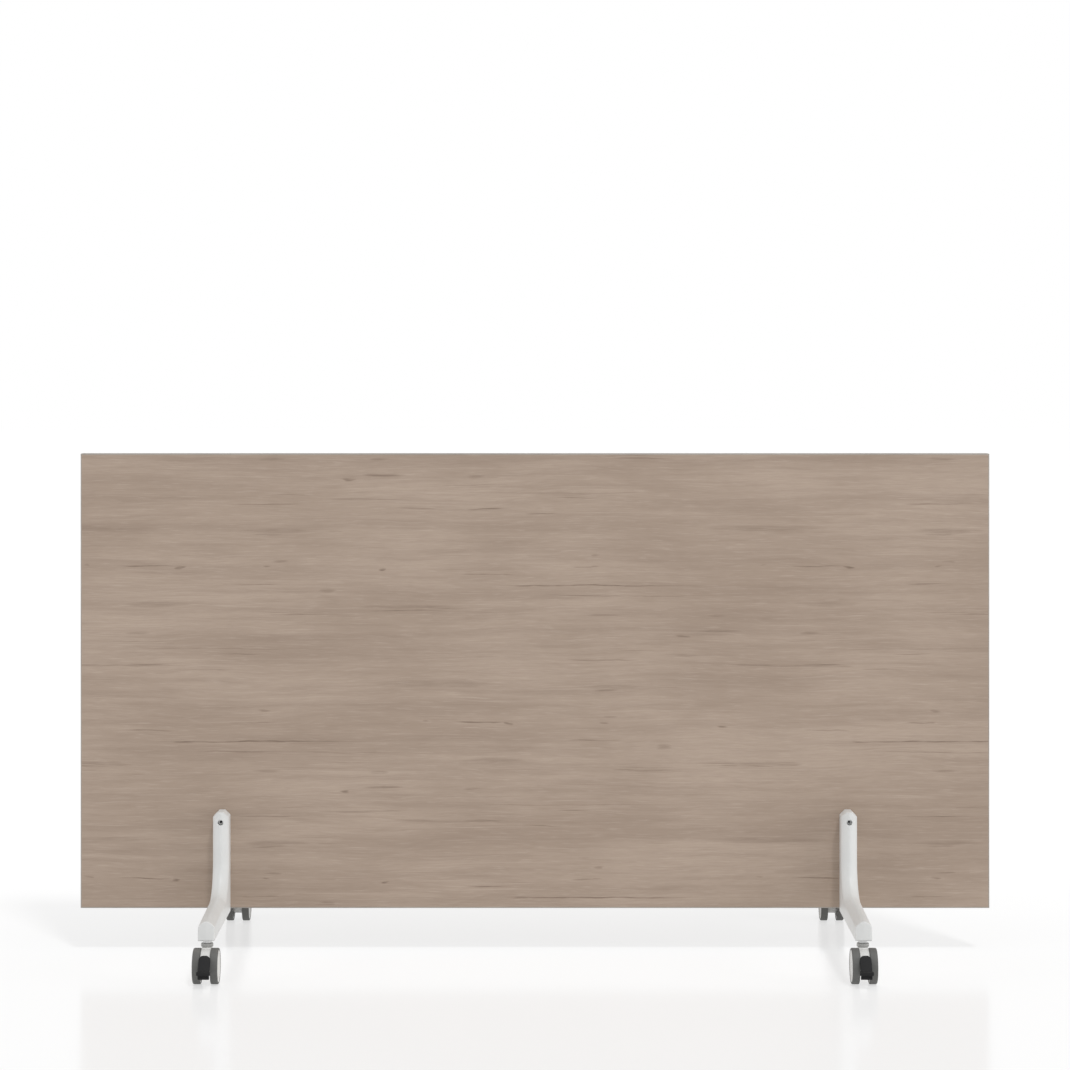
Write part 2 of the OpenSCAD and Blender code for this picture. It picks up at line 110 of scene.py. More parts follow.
class Graph:
    """Adds nodes to one tree, wiring each input to a socket or to a value."""

    def __init__(self, tree):
        self.tree = tree

    def wire(self, value, socket):
        if isinstance(value, bpy.types.NodeSocket):
            self.tree.links.new(value, socket)
        else:
            socket.default_value = value

    def feed(self, sockets, values):
        for key, value in dict(values).items():
            self.wire(value, sockets[key])

    def node(self, kind, inputs=(), **settings):
        made = self.tree.nodes.new(kind)
        for key, value in settings.items():
            setattr(made, key, value)
        self.feed(made.inputs, inputs)
        return made

    def result(self, kind, inputs=(), **settings):
        """The first output of a new node."""
        return self.node(kind, inputs, **settings).outputs[0]

    def group(self, tree, inputs):
        """The outputs of a node group put to use."""
        return self.node("ShaderNodeGroup", inputs, node_tree=tree).outputs

    def math(self, operation, *values):
        return self.result("ShaderNodeMath", enumerate(values), operation=operation)

    def times(self, a, b, plus=None):
        """Two values multiplied, with a third added to that."""
        if plus is None:
            return self.math("MULTIPLY", a, b)
        return self.math("MULTIPLY_ADD", a, b, plus)

    def combine(self, **axes):
        return self.result("ShaderNodeCombineXYZ", axes)

    def separate(self, vector):
        return self.node("ShaderNodeSeparateXYZ", {0: vector}).outputs

    def place(self):
        return self.node("ShaderNodeTexCoord").outputs["Object"]

    def stretch(self, vector, scale):
        return self.result("ShaderNodeMapping", {"Vector": vector, "Scale": scale})

    def noise(self, vector, scale, detail=2.0, roughness=0.5, distortion=0.0):
        made = self.node("ShaderNodeTexNoise", {
            "Vector": vector, "Scale": scale, "Detail": detail, "Roughness": roughness,
            "Distortion": distortion})
        return made.outputs["Fac"]

    def grain(self, vector, scale, detail, roughness=0.5, distortion=0.0):
        """Noise drawn out by a scale of its own along each axis."""
        return self.noise(self.stretch(vector, scale), 1.0, detail, roughness, distortion)

    def remap(self, value, low, high, to_low=0.0, to_high=1.0):
        return self.result("ShaderNodeMapRange", {
            "Value": value, "From Min": low, "From Max": high, "To Min": to_low,
            "To Max": to_high}, interpolation_type="SMOOTHSTEP")

    def mix(self, factor, a, b):
        return self.node("ShaderNodeMix", {0: factor, 6: a, 7: b}, data_type="RGBA").outputs[2]

    def bump(self, height, distance):
        return self.result("ShaderNodeBump", {"Height": height, "Distance": distance})

    def straight_rays(self):
        """One for rays that come from the camera straight, by a mirror or through glass."""
        path = self.node("ShaderNodeLightPath").outputs
        bent = self.math("MAXIMUM", path["Is Glossy Ray"], path["Is Transmission Ray"])
        return self.math("MAXIMUM", path["Is Camera Ray"], bent)


def srgb(*levels):
    """A linear colour from 8-bit display values."""
    shares = [level / 255.0 for level in levels]
    return (*(v / 12.92 if v <= 0.04045 else ((v + 0.055) / 1.055) ** 2.4 for v in shares), 1.0)


WHITE = (1.0, 1.0, 1.0, 1.0)
DUST = srgb(196, 192, 184)
SCUFF = srgb(150, 148, 144)
# Painted shade for the depth of a bolt's hex socket
SOCKET_SHADE = srgb(34, 34, 35)


def empty_graph(owner):
    """The cleared node tree of a material or world."""
    owner.use_nodes = True
    owner.node_tree.nodes.clear()
    return Graph(owner.node_tree)


def new_material(name):
    """A material with one principled shader: the material, its graph, the sockets and the place."""
    material = bpy.data.materials.new(name)
    g = empty_graph(material)
    shader = g.node("ShaderNodeBsdfPrincipled")
    g.node("ShaderNodeOutputMaterial", {"Surface": shader.outputs[0]})
    return material, g, shader.inputs, g.place()


def build_finish_group():
    """What finishes share: slow tone drift, fine texture, dust on top and short straight scuffs."""
    tree, g, given, out = new_group(
        "finish_variation",
        [("Position", "Vector", None), ("Texture Scale", "Float", 900.0),
         ("Drift Scale", "Float", 14.0), ("Scuff Coverage", "Float", 0.5)],
        [(label, "Float") for label in ("Drift", "Texture", "Dust", "Scuff")])
    place = given["Position"]
    drift = g.noise(place, given["Drift Scale"], 3.0, 0.55)
    facing = g.separate(g.node("ShaderNodeNewGeometry").outputs["Normal"])
    upward = g.remap(facing["Z"], 0.55, 1.0)
    patches = g.remap(g.noise(place, 60.0, 4.0, 0.65), 0.42, 0.72)
    along = g.remap(g.grain(place, (60.0, 60.0, 1400.0), 2.0, 0.5, 0.4), 0.66, 0.74)
    across = g.remap(g.grain(place, (1300.0, 90.0, 60.0), 2.0, 0.5, 0.4), 0.67, 0.75)
    low = g.math("SUBTRACT", 0.8, g.times(given["Scuff Coverage"], 0.4))
    worn = g.remap(g.noise(place, 35.0, 3.0, 0.6), low, 0.85)
    g.feed(out, {"Drift": g.remap(drift, 0.3, 0.7), "Dust": g.times(upward, patches),
                 "Texture": g.noise(place, given["Texture Scale"], 2.0, 0.6),
                 "Scuff": g.times(g.math("MAXIMUM", along, across), worn)})
    return tree


FINISH = build_finish_group()


def moulded(name, colour, shade, roughness, texture_scale, depth, dust, gloss):
    """A painted or moulded surface: tone drift, dust on top, scuffs and a fine texture."""
    material, g, shader, place = new_material(name)
    finish = g.group(FINISH, {"Position": place, "Texture Scale": texture_scale})
    tone = g.mix(finish["Drift"], srgb(*colour), srgb(*shade))
    tone = g.mix(g.times(finish["Dust"], dust), tone, DUST)
    tone = g.mix(g.times(finish["Scuff"], 0.15), tone, SCUFF)
    rough = g.times(finish["Texture"], 0.16, roughness - 0.08)
    rough = g.times(finish["Scuff"], 0.12, rough)
    rough = g.times(finish["Dust"], 0.1, rough)
    g.feed(shader, {"Base Color": tone, "Roughness": rough, "Specular IOR Level": gloss,
                    "Normal": g.bump(finish["Texture"], depth)})
    return material


def steel(name, colour, shade, roughness, metallic, socket_r):
    """Plated steel: cloudy plating with fine turning marks, and painted shade inside a bolt's
    socket.
    """
    material, g, shader, place = new_material(name)
    finish = g.group(FINISH, {"Position": place, "Texture Scale": 700.0, "Drift Scale": 90.0,
                              "Scuff Coverage": 0.9})
    tone = g.mix(finish["Drift"], srgb(*colour), srgb(*shade))
    # Painted shade: inside this radius about the bolts' axis the socket is darkened as if in shadow
    if socket_r:
        axes = g.separate(place)
        across = g.math("SUBTRACT", g.math("ABSOLUTE", axes["X"]), FOOT_X * MM)
        up = g.math("SUBTRACT", axes["Z"], BOLT_Z * MM)
        away = g.math("SQRT", g.times(across, across, g.times(up, up)))
        inside = g.remap(away, socket_r * 0.9 * MM, socket_r * 1.05 * MM, 1.0, 0.0)
        tone = g.mix(inside, tone, SOCKET_SHADE)
    rough = g.times(finish["Texture"], 0.2, roughness - 0.1)
    g.feed(shader, {"Base Color": tone, "Roughness": g.times(finish["Scuff"], 0.2, rough),
                    "Metallic": metallic, "Normal": g.bump(finish["Texture"], 0.00003)})
    return material


# Wood decor

GRAIN_TONES = {"pale": srgb(194, 177, 163), "light": srgb(178, 160, 145),
               "mid": srgb(165, 147, 132), "dark": srgb(142, 124, 110)}
BAND_TONES = {"pale": srgb(190, 184, 177), "light": srgb(171, 165, 157),
              "mid": srgb(158, 151, 144), "dark": srgb(139, 131, 123)}
MARK_DARK = srgb(108, 90, 76)

# Layers of the grain, laid in turn over its slow blotches: scale along each axis, detail,
# roughness, the noise at which the layer begins and is full, its strength and its tone
GRAIN_LAYERS = {
    "bands": ((1.3, 5.0, 42.0), 3.0, 0.6, 0.4, 0.68, 0.3, "dark"),
    "streaks": ((6.0, 1.0, 110.0), 4.0, 0.6, 0.44, 0.72, 0.27, "dark"),
    "fibres": ((38.0, 1.0, 560.0), 3.0, 0.6, 0.4, 0.75, 0.2, "dark"),
    "pale fibres": ((24.0, 7.0, 420.0), 3.0, 0.6, 0.52, 0.72, 0.3, "pale"),
    "dark lines": ((4.0, 3.0, 300.0), 3.0, 0.6, 0.58, 0.72, 0.3, "dark"),
    "pale lines": ((5.0, 9.0, 330.0), 3.0, 0.6, 0.58, 0.72, 0.3, "pale"),
    "dashes": ((40.0, 1.0, 700.0), 2.0, 0.5, 0.62, 0.74, 0.15, "dark"),
}

# The decor repeats in rows of this height, each moved along by half a repeat
REPEAT_ALONG = 1.183
REPEAT_ROW = 0.2746

# Cracks, streaks and knots of the decor, in millimetres: their place along and up, half length,
# half height and strength
GRAIN_MARKS = [
    (167, 873, 85, 1.0, 0.35), (187, 869, 67, 1.2, 0.5), (361, 876, 85, 1.3, 0.55),
    (-467, 867, 31, 3.0, 0.35), (-272, 866, 20, 3.0, 0.35), (-108, 836, 22, 3.0, 0.35),
    (-265, 839, 44, 2.6, 0.5), (-333, 831, 12, 3.4, 0.75), (-290, 838, 75, 9.0, 0.14),
    (-99, 822, 83, 1.0, 0.35), (49, 808, 241, 1.0, 0.35), (71, 799, 45, 1.2, 0.5),
    (-417, 804, 49, 1.0, 0.35), (-320, 795, 35, 1.1, 0.45), (-299, 797, 90, 1.2, 0.5),
    (-472, 788, 74, 1.3, 0.6), (-210, 780, 46, 1.3, 0.55), (-85, 780, 44, 1.3, 0.65),
    (-129, 778, 129, 1.0, 0.35), (18, 771, 45, 1.2, 0.5), (-778, 746, 130, 6.5, 0.26),
    (-458, 741, 72, 5.5, 0.3), (-470, 735, 34, 1.6, 0.5), (-356, 741, 23, 1.0, 0.3),
    (113, 698, 11, 3.0, 0.45), (110, 678, 12, 1.6, 0.4), (-456, 688, 18, 2.0, 0.45),
    (-785, 681, 7, 2.0, 0.4), (-683, 679, 60, 1.5, 0.7), (-630, 676, 9, 3.5, 0.7),
    (-472, 679, 8, 2.0, 0.5), (-267, 672, 10, 2.4, 0.8), (85, 677, 26, 1.2, 0.5),
    (-85, 665, 48, 1.3, 0.6), (-489, 647, 50, 1.3, 0.55), (-23, 644, 23, 1.2, 0.5),
    (110, 645, 205, 1.5, 0.75), (-366, 635, 16, 5.0, 0.35), (70, 627, 85, 1.1, 0.55),
    (229, 626, 181, 1.0, 0.35), (-667, 612, 62, 6.5, 0.28), (-217, 607, 110, 4.0, 0.34),
    (-151, 604, 42, 1.2, 0.45),
]


def build_mark_group():
    """Adds one repeating grain mark, strongest along its middle, to the marks before it."""
    tree, g, given, out = new_group(
        "grain_mark",
        [(label, "Float", 0.0) for label in (
            "Along", "Up", "Centre Along", "Centre Up", "Half Length", "Half Height", "Strength",
            "Previous")],
        [("Marks", "Float")])
    rise = g.math("SUBTRACT", given["Up"], given["Centre Up"])
    row = g.math("ROUND", g.math("DIVIDE", rise, REPEAT_ROW))
    rise = g.times(row, -REPEAT_ROW, rise)
    run = g.math("SUBTRACT", given["Along"], given["Centre Along"])
    run = g.times(row, REPEAT_ALONG / 2.0, run)
    run = g.math("WRAP", run, REPEAT_ALONG / 2.0, -REPEAT_ALONG / 2.0)
    wide = g.math("POWER", g.math("DIVIDE", run, given["Half Length"]), 2.0)
    tall = g.math("POWER", g.math("DIVIDE", rise, given["Half Height"]), 2.0)
    fade = g.remap(g.math("ADD", wide, tall), 0.0, 1.0, 1.0, 0.0)
    g.wire(g.times(fade, given["Strength"], given["Previous"]), out["Marks"])
    return tree


GRAIN_MARK = build_mark_group()


def add_marks(g, place):
    """All grain marks of the decor, their outlines broken up by a fine noise."""
    ragged = g.node("ShaderNodeTexNoise", {
        "Vector": g.stretch(place, (12.0, 1.0, 90.0)), "Scale": 1.0, "Detail": 3.0})
    drift = g.node("ShaderNodeSeparateColor", {0: ragged.outputs["Color"]}).outputs
    axes = g.separate(place)
    run = g.math("ADD", axes["X"], g.times(drift[0], 0.06, -0.03))
    up = g.math("ADD", axes["Z"], g.times(drift[1], 0.008, -0.004))
    marks = 0.0
    for along, height, half_length, half_height, strength in GRAIN_MARKS:
        marks = g.group(GRAIN_MARK, {
            "Along": run, "Up": up, "Centre Along": along * MM, "Centre Up": height * MM,
            "Half Length": half_length * MM, "Half Height": half_height * MM,
            "Strength": strength, "Previous": marks})["Marks"]
    worn = g.remap(g.grain(place, (30.0, 1.0, 500.0), 2.0), 0.35, 0.6, 0.45, 0.95)
    return g.times(marks, worn)


def wood_decor(name, tones, upright, marked):
    """A printed wood grain, along X or along Z, with or without the decor's marks."""
    material, g, shader, place = new_material(name)
    if upright:
        turn = (0.0, math.radians(90.0), 0.0)
        place = g.result("ShaderNodeMapping", {"Vector": place, "Rotation": turn})
    warp = g.times(g.grain(place, (2.8, 1.0, 9.0), 2.0), 0.026, -0.013)
    wavy = g.result("ShaderNodeVectorMath", {0: place, 1: g.combine(Z=warp)}, operation="ADD")
    blotches = g.grain(wavy, (2.0, 1.0, 7.0), 4.0, 0.6)
    tone = g.mix(g.remap(blotches, 0.35, 0.65), tones["mid"], tones["light"])
    layers = {}
    for label, (scale, detail, rough, low, high, strength, over) in GRAIN_LAYERS.items():
        layers[label] = g.grain(wavy, scale, detail, rough)
        share = g.times(g.remap(layers[label], low, high), strength)
        tone = g.mix(share, tone, tones[over])
    if marked:
        tone = g.mix(g.math("MINIMUM", add_marks(g, place), 0.8), tone, MARK_DARK)
    fibres = layers["fibres"]
    g.feed(shader, {"Base Color": tone, "Roughness": g.times(fibres, 0.14, 0.5),
                    "Specular IOR Level": 0.3, "Normal": g.bump(fibres, 0.00006)})
    return material


def chipboard():
    """Pressed flakes of mixed tones with fines between them."""
    material, g, shader, place = new_material("chipboard")
    flakes = g.node("ShaderNodeTexVoronoi", {"Vector": place, "Scale": 420.0})
    shade = g.result("ShaderNodeSeparateColor", {0: flakes.outputs["Color"]})
    fines = g.noise(place, 900.0, 3.0, 0.6)
    tone = g.mix(shade, srgb(196, 168, 128), srgb(150, 118, 84))
    tone = g.mix(g.times(g.remap(fines, 0.5, 0.7), 0.5), tone, srgb(120, 92, 64))
    g.feed(shader, {"Base Color": tone, "Roughness": g.times(fines, 0.15, 0.75),
                    "Normal": g.bump(flakes.outputs["Distance"], 0.0003)})
    return material


# Tones, whether the grain stands upright, whether it has the decor's marks
WOODS = {
    "wood_laminate": (GRAIN_TONES, False, True),
    "edge_band": (BAND_TONES, False, False),
    "edge_band_upright": (BAND_TONES, True, False),
}
# Colour, its drift, roughness, scale and depth of the texture, dust and gloss
MOULDINGS = {
    "white_paint": ((219, 220, 219), (213, 214, 213), 0.42, 1500.0, 0.00004, 0.1, 0.5),
    "white_plastic": ((218, 218, 216), (211, 210, 207), 0.38, 1100.0, 0.00002, 0.1, 0.5),
    "grey_plastic": ((186, 186, 184), (178, 178, 175), 0.45, 1100.0, 0.00003, 0.1, 0.5),
    "grey_tyre": ((104, 104, 102), (95, 95, 93), 0.62, 1600.0, 0.00006, 0.1, 0.3),
    "black_plastic": ((31, 31, 32), (26, 26, 27), 0.68, 1400.0, 0.00005, 0.02, 0.25),
}
# Colour, its drift, roughness, how metallic, radius of the socket's painted shade
STEELS = {
    "zinc_steel": ((222, 222, 221), (205, 206, 206), 0.42, 0.9, None),
    "bright_zinc": ((244, 244, 243), (236, 236, 235), 0.42, 0.1, 2.4),
    "dark_steel": ((120, 121, 123), (98, 99, 101), 0.4, 0.9, None),
}
MATERIALS = {"chipboard": chipboard()}
for build, looks in ((wood_decor, WOODS), (moulded, MOULDINGS), (steel, STEELS)):
    for look, values in looks.items():
        MATERIALS[look] = build(look, *values)


# Mesh building


def add_object(name, data):
    made = bpy.data.objects.new(name, data)
    bpy.context.scene.collection.objects.link(made)
    return made


def discard(*objects):
    for made in objects:
        bpy.data.objects.remove(made)


def make_object(name, points, faces):
    """A closed mesh from points in millimetres, with its faces turned outwards."""
    mesh = bpy.data.meshes.new(name)
    mesh.from_pydata([Vector(p) * MM for p in points], [], faces)
    work = bmesh.new()
    work.from_mesh(mesh)
    bmesh.ops.remove_doubles(work, verts=work.verts, dist=1e-7)
    bmesh.ops.recalc_face_normals(work, faces=work.faces)
    work.to_mesh(mesh)
    work.free()
    return add_object(name, mesh)


def box(name, low, high):
    """A block between two corners."""
    points = list(itertools.product(*zip(low, high)))
    faces = [(0, 1, 3, 2), (4, 5, 7, 6), (0, 1, 5, 4), (2, 3, 7, 6), (0, 2, 6, 4), (1, 3, 7, 5)]
    return make_object(name, points, faces)


def skin(rings):
    """Points and faces of a solid through rings of points, closed at both ends."""
    count = len(rings[0])
    points = [point for ring in rings for point in ring]
    faces = []
    for low in range(0, len(points) - count, count):
        for i in range(count):
            j = (i + 1) % count
            faces.append((low + i, low + j, low + count + j, low + count + i))
    faces.append(tuple(range(count)))
    faces.append(tuple(reversed(range(len(points) - count, len(points)))))
    return points, faces


def lathe(name, profile, steps):
    """Turns an outline of (radius, height) about Z, from pole to pole or round a hole."""
    turns = [2.0 * math.pi * i / steps for i in range(steps)]
    points, rings = [], []
    for radius, height in profile:
        ring = [(radius * math.cos(turn), radius * math.sin(turn), height)
                for turn in (turns if radius else turns[:1])]
        rings.append(range(len(points), len(points) + len(ring)))
        points += ring
    pairs = list(zip(rings, rings[1:]))
    if profile[0][0] and profile[-1][0]:
        pairs.append((rings[-1], rings[0]))
    faces = []
    for low, high in pairs:
        for i in range(steps):
            corners = [(low, i), (low, i + 1), (high, i + 1), (high, i)]
            face = tuple(dict.fromkeys(ring[k % len(ring)] for ring, k in corners))
            if len(face) > 2:
                faces.append(face)
    return make_object(name, points, faces)


def quarter_round(radius, steps):
    """Along a rounded corner: how far in from one side, and how far from the other side."""
    turns = [math.radians(90.0 * k / steps) for k in range(steps + 1)]
    return [(radius * (1.0 - math.cos(turn)), radius * (1.0 - math.sin(turn))) for turn in turns]


def arris_inset(radius, away):
    """How far a rounded arris falls in, at a distance from the end that it rounds."""
    near = max(0.0, radius - away)
    return radius - math.sqrt(max(0.0, radius ** 2 - near ** 2))


def arc(centre, radius, start, end, steps):
    """Points on a circular arc, angles in degrees."""
    turns = [math.radians(start + (end - start) * i / steps) for i in range(steps + 1)]
    return [(centre[0] + radius * math.cos(turn), centre[1] + radius * math.sin(turn))
            for turn in turns]


def rounded_profile(corners, steps):
    """An outline whose corners (x, y, radius) are rounded."""
    outline = []
    for i, (x, y, radius) in enumerate(corners):
        if radius <= 0.0:
            outline.append((x, y))
            continue
        here = Vector((x, y))
        before = (Vector(corners[i - 1][:2]) - here).normalized()
        after = (Vector(corners[(i + 1) % len(corners)][:2]) - here).normalized()
        half = before.angle(after) / 2.0
        centre = here + (before + after).normalized() * (radius / math.sin(half))
        start = here + before * (radius / math.tan(half)) - centre
        end = here + after * (radius / math.tan(half)) - centre
        sweep = start.angle_signed(end)
        for k in range(steps + 1):
            spoke = start.copy()
            spoke.rotate(Matrix.Rotation(-sweep * k / steps, 2))
            outline.append(tuple(centre + spoke))
    return outline


def inset_outline(outline, inset):
    """The outline moved inwards by an even distance."""
    if not inset:
        return outline
    following = outline[1:] + outline[:1]
    area = sum(x * next_y - next_x * y for (x, y), (next_x, next_y) in zip(outline, following))
    turn = 1.0 if area > 0.0 else -1.0
    moved = []
    for i, (here, ahead) in enumerate(zip(outline, following)):
        here = Vector(here)
        before = (here - Vector(outline[i - 1])).normalized()
        after = (Vector(ahead) - here).normalized()
        normal = Vector((-before.y - after.y, before.x + after.x)) * turn
        normal.normalize()
        spread = max(0.4, normal.dot(Vector((-after.y, after.x)) * turn))
        moved.append(tuple(here + normal * (inset / spread)))
    return moved


def prism(name, outline, half_width, bevel=0.0):
    """An outline of (ahead, up) made solid to both sides of a castor's middle plane."""
    corner = quarter_round(bevel, BEVEL_STEPS) if bevel else [(0.0, 0.0)]
    layers = [(inset_outline(outline, inset), half_width - short) for short, inset in corner]
    layers += [(shape, -width) for shape, width in reversed(layers)]
    rings = [[(width, -TRAIL - a, WHEEL_R + h) for a, h in shape] for shape, width in layers]
    return make_object(name, *skin(rings))


def round_edges(made, chosen, radius, segments, clamp):
    """Rounds the edges of an object that a test picks out."""
    work = bmesh.new()
    work.from_mesh(made.data)
    edges = [edge for edge in work.edges if chosen(edge)]
    bmesh.ops.bevel(work, geom=edges, offset=radius * MM, segments=segments, affect="EDGES",
                    profile=0.5, clamp_overlap=clamp)
    work.to_mesh(made.data)
    work.free()


def apply_modifiers(made):
    """Turns an object's modifiers into plain mesh."""
    view = bpy.context.evaluated_depsgraph_get()
    mesh = bpy.data.meshes.new_from_object(made.evaluated_get(view))
    made.modifiers.clear()
    old = made.data
    made.data = mesh
    bpy.data.meshes.remove(old)


def carve(made, cutters):
    """Cuts each cutter out of the object in turn."""
    for cutter in cutters:
        step = made.modifiers.new("cut", "BOOLEAN")
        step.operation = "DIFFERENCE"
        step.solver = "EXACT"
        step.object = cutter
        apply_modifiers(made)
        discard(cutter)


def round_cutter(outline, at, turn=Matrix.Identity(4)):
    """A turned cutter: (radius, height) points, closed to the axis at both ends."""
    profile = [(0.0, outline[0][1])] + outline + [(0.0, outline[-1][1])]
    made = lathe("cutter", profile, 48)
    made.data.transform(shift(*at) @ turn)
    return made


def side_hole(radius, offset=0.0):
    """A cutter through a castor's sides, offset ahead of its axle and above it."""
    return round_cutter([(radius, -20.0), (radius, 20.0)],
                        (0.0, -TRAIL - offset, WHEEL_R + offset), quarter_turn("Y"))


def slot_cutter(half_w, y_low, y_high, z_low, z_high):
    """A slot with round ends, slightly tapered as a casting's pocket is."""
    outline = (arc((0.0, y_high - half_w), half_w, 0.0, 180.0, 16)
               + arc((0.0, y_low + half_w), half_w, 180.0, 360.0, 16))
    middle = (y_low + y_high) / 2.0
    rings = [
        [(x * (half_w + grow) / half_w, y + (grow if y > middle else -grow), z)
         for x, y in outline]
        for z, grow in ((z_low, 0.4), (z_high - 1.5, 0.0), (z_high, -1.2))]
    return make_object("cutter", *skin(rings))


def hex_cutter(across_flats, z_low, z_high, chamfer, face):
    """A hex socket's cutter, its mouth chamfered at the head's face."""
    r = across_flats / math.sqrt(3.0)
    inside = math.copysign(chamfer, z_low - z_high)
    turns = [math.radians(60 * i) for i in range(6)]
    rings = [
        [(radius * math.cos(turn), radius * math.sin(turn), z) for turn in turns]
        for z, radius in (
            (z_low, r), (face + inside, r), (face, r + chamfer), (z_high, r + chamfer))]
    return make_object("cutter", *skin(rings))


def join(name, parts):
    """One mesh from several closed ones."""
    work = bmesh.new()
    for part in parts:
        work.from_mesh(part.data)
    discard(*parts)
    mesh = bpy.data.meshes.new(name)
    work.to_mesh(mesh)
    work.free()
    return add_object(name, mesh)


# Repeated shapes


GEOMETRY = ("Geometry", "Geometry")


def end_tree(g, parts, out, material):
    """Joins what a tree made, as plain mesh of one material."""
    both = g.node("GeometryNodeJoinGeometry")
    for part in parts:
        g.wire(part, both.inputs[0])
    real = g.result("GeometryNodeRealizeInstances", {0: both.outputs[0]})
    dressed = g.result(
        "GeometryNodeSetMaterial", {"Geometry": real, "Material": MATERIALS[material]})
    g.wire(dressed, out["Geometry"])


def run_tree(made, tree, material):
    """Puts a tree on an object and turns the result into plain mesh."""
    made.modifiers.new("repeat", "NODES").node_group = tree
    made.data.materials.clear()
    made.data.materials.append(MATERIALS[material])
    apply_modifiers(made)


def build_rib_tree():
    """Even ribs between a hub's boss and its rim, added to the hub."""
    tree, g, given, out = new_group("hub_ribs", [
        (*GEOMETRY, None), ("Rib Count", "Int", 8), ("Rib Length", "Float", 18.0 * MM),
        ("Rib Thickness", "Float", 1.4 * MM), ("Rib Height", "Float", 6.4 * MM),
        ("Ring Radius", "Float", 15.5 * MM), ("Ring Height", "Float", 5.4 * MM)],
        [GEOMETRY], "GeometryNodeTree")
    size = g.combine(X=given["Rib Length"], Y=given["Rib Thickness"], Z=given["Rib Height"])
    rib = g.result("GeometryNodeMeshCube", {
        "Size": size, "Vertices X": 4, "Vertices Y": 2, "Vertices Z": 3})
    lift = g.combine(Z=given["Ring Height"])
    ring = g.result("GeometryNodeMeshCircle", {
        "Vertices": given["Rib Count"], "Radius": given["Ring Radius"]})
    raised = g.result("GeometryNodeSetPosition", {"Geometry": ring, "Offset": lift})
    spot = g.result("GeometryNodeInputPosition")
    outward = g.result("ShaderNodeVectorMath", {0: spot, 1: lift}, operation="SUBTRACT")
    turn = g.result(
        "FunctionNodeAlignRotationToVector", {"Vector": outward}, axis="X", pivot_axis="Z")
    ribs = g.result("GeometryNodeInstanceOnPoints", {
        "Points": raised, "Instance": rib, "Rotation": turn})
    end_tree(g, (ribs, given["Geometry"]), out, "white_plastic")
    return tree


def build_screw_tree():
    """One screw repeated at both reaches under each arm of both feet."""
    near, far = SCREW_REACHES
    tree, g, given, out = new_group("plate_screw_rows", [
        (*GEOMETRY, None), ("Foot Start", "Float", -FOOT_X * MM),
        ("Foot Step", "Float", 2.0 * FOOT_X * MM),
        ("Reach Start", "Float", near * MM), ("Reach Step", "Float", (far - near) * MM)],
        [GEOMETRY], "GeometryNodeTree")

    def two(axis, label, instance):
        line = g.result("GeometryNodeMeshLine", {
            "Count": 2, "Start Location": g.combine(**{axis: given[label + " Start"]}),
            "Offset": g.combine(**{axis: given[label + " Step"]})})
        return g.result("GeometryNodeInstanceOnPoints", {"Points": line, "Instance": instance})

    rear = two("X", "Foot", two("Y", "Reach", given["Geometry"]))
    front = g.result(
        "GeometryNodeTransform", {"Geometry": rear, "Rotation": (0.0, 0.0, math.pi)})
    end_tree(g, (rear, front), out, "dark_steel")
    return tree


# Placing and dressing


def finish_piece(source, name, matrix, material, body, nodes, angle=32.0):
    """A copy of a mesh with its place in its points, dressed, riding on a body."""
    mesh = source.data.copy()
    mesh.name = name
    mesh.transform(matrix)
    mesh.materials.clear()
    mesh.materials.append(MATERIALS[material])
    mesh.shade_smooth()
    mesh.set_sharp_from_angle(angle=math.radians(angle))
    made = add_object(name, mesh)
    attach(made, body)
    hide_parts(*nodes)


def shift(x, y, z):
    return Matrix.Translation(Vector((x, y, z)) * MM)


def quarter_turn(axis, sign=1):
    return Matrix.Rotation(math.radians(90.0 * sign), 4, axis)


def arm_place(side, end):
    """A front arm's frame, turned half round for a rear arm."""
    return shift(side * FOOT_X, 0.0, 0.0) @ Matrix.Rotation(math.pi if end > 0 else 0.0, 4, "Z")


def castor_place(side, end):
    """A castor's frame: on the floor under its stem, trailing towards -Y."""
    return arm_place(side, end) @ shift(0.0, -STEM_Y, 0.0)


def wheel_place(direction):
    """A wheel's frame: its axis along Z, its inner edge at zero, its face outwards."""
    return shift(direction * WHEEL_GAP / 2.0, -TRAIL, WHEEL_R) @ quarter_turn("Y", direction)


# Foot arm


CROSS_STEPS = 14
ELBOW_STEPS = 24
TOP_BEVEL_DROPS = (2.5, 4.5, 6.5, 8.4)
UPRIGHT_ROWS = (236.0, 228.0, 220.0, 208.0, 194.0, 180.0)
BAR_ROWS = (125.0, 150.0, 180.0, 210.0, 240.0, 262.0, 272.0)
TIP_COLUMNS = (0.75, 0.45, 0.2, 0.08, 0.0, -0.08, -0.2, -0.45, -0.75)


def crown(x):
    """Height of the crown above the shoulder line, its ridge softened."""
    lean = math.atan2(CROWN_H, ARM_HALF_W)
    half_chord = math.hypot(ARM_HALF_W, CROWN_H) / 2.0
    drop = math.sqrt(FLANK_R ** 2 - half_chord ** 2)
    centre_x = -ARM_HALF_W / 2.0 + drop * math.sin(lean)
    centre_h = CROWN_H / 2.0 - drop * math.cos(lean)
    soft = RIDGE_SOFT ** 2 * (1.0 - (x / ARM_HALF_W) ** 2)
    away = min(ARM_HALF_W, math.sqrt(x * x + soft))
    return centre_h + math.sqrt(FLANK_R ** 2 - (away + centre_x) ** 2)


def prow(x, y):
    """How far the tip's face falls back beside its middle ridge, fading in along the bar."""
    fade = min(1.0, max(0.0, (-y - STEM_Y) / (TIP_Y - STEM_Y)))
    return PROW * fade * (math.hypot(x, PROW_SOFT) - PROW_SOFT) / (ARM_HALF_W - PROW_SOFT)


